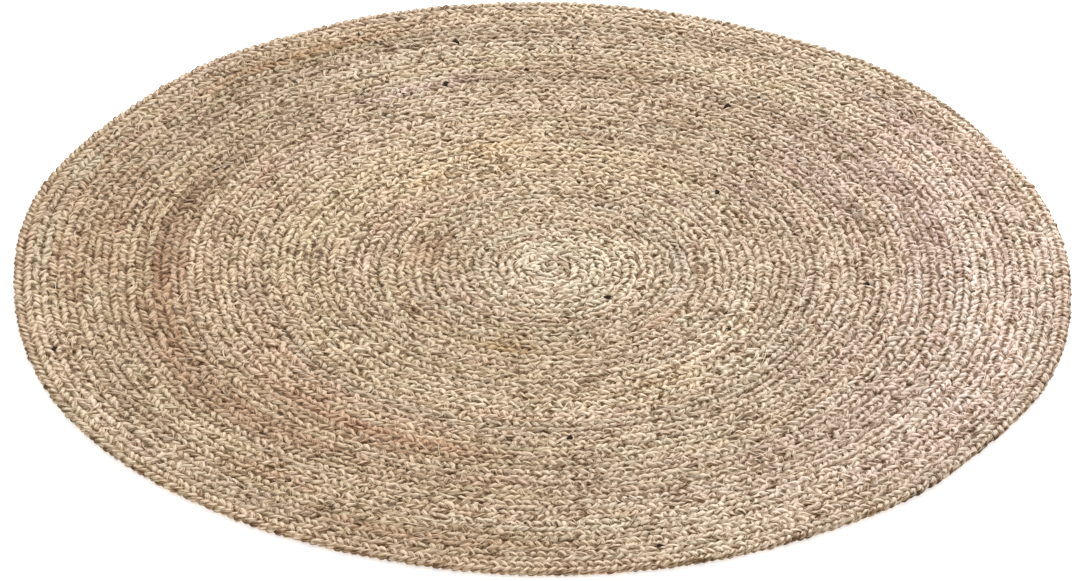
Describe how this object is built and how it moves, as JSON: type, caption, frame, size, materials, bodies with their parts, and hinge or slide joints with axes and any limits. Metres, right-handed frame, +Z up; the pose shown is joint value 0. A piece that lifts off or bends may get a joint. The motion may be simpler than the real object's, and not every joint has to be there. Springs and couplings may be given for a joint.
{
  "type": "round plaited seagrass rug",
  "caption": "Round flat rug made of one long three-strand grass plait wound in a spiral and sewn edge to edge, for laying on a floor.",
  "frame": {"origin": "on the floor under the middle of the rug's box", "axes": "+Z up, out of the rug's top face; +X and +Y in the floor, with the plait's tapered end on the rim at about 14 degrees counter-clockwise from +X"},
  "size_m": [1.1968, 1.2028, 0.009],
  "materials": {
    "dried_grass": "plaited dried grass, straw to light brown, matt"
  },
  "bodies": {
    "root": {"rug": "dried_grass"}
  },
  "joints": []
}
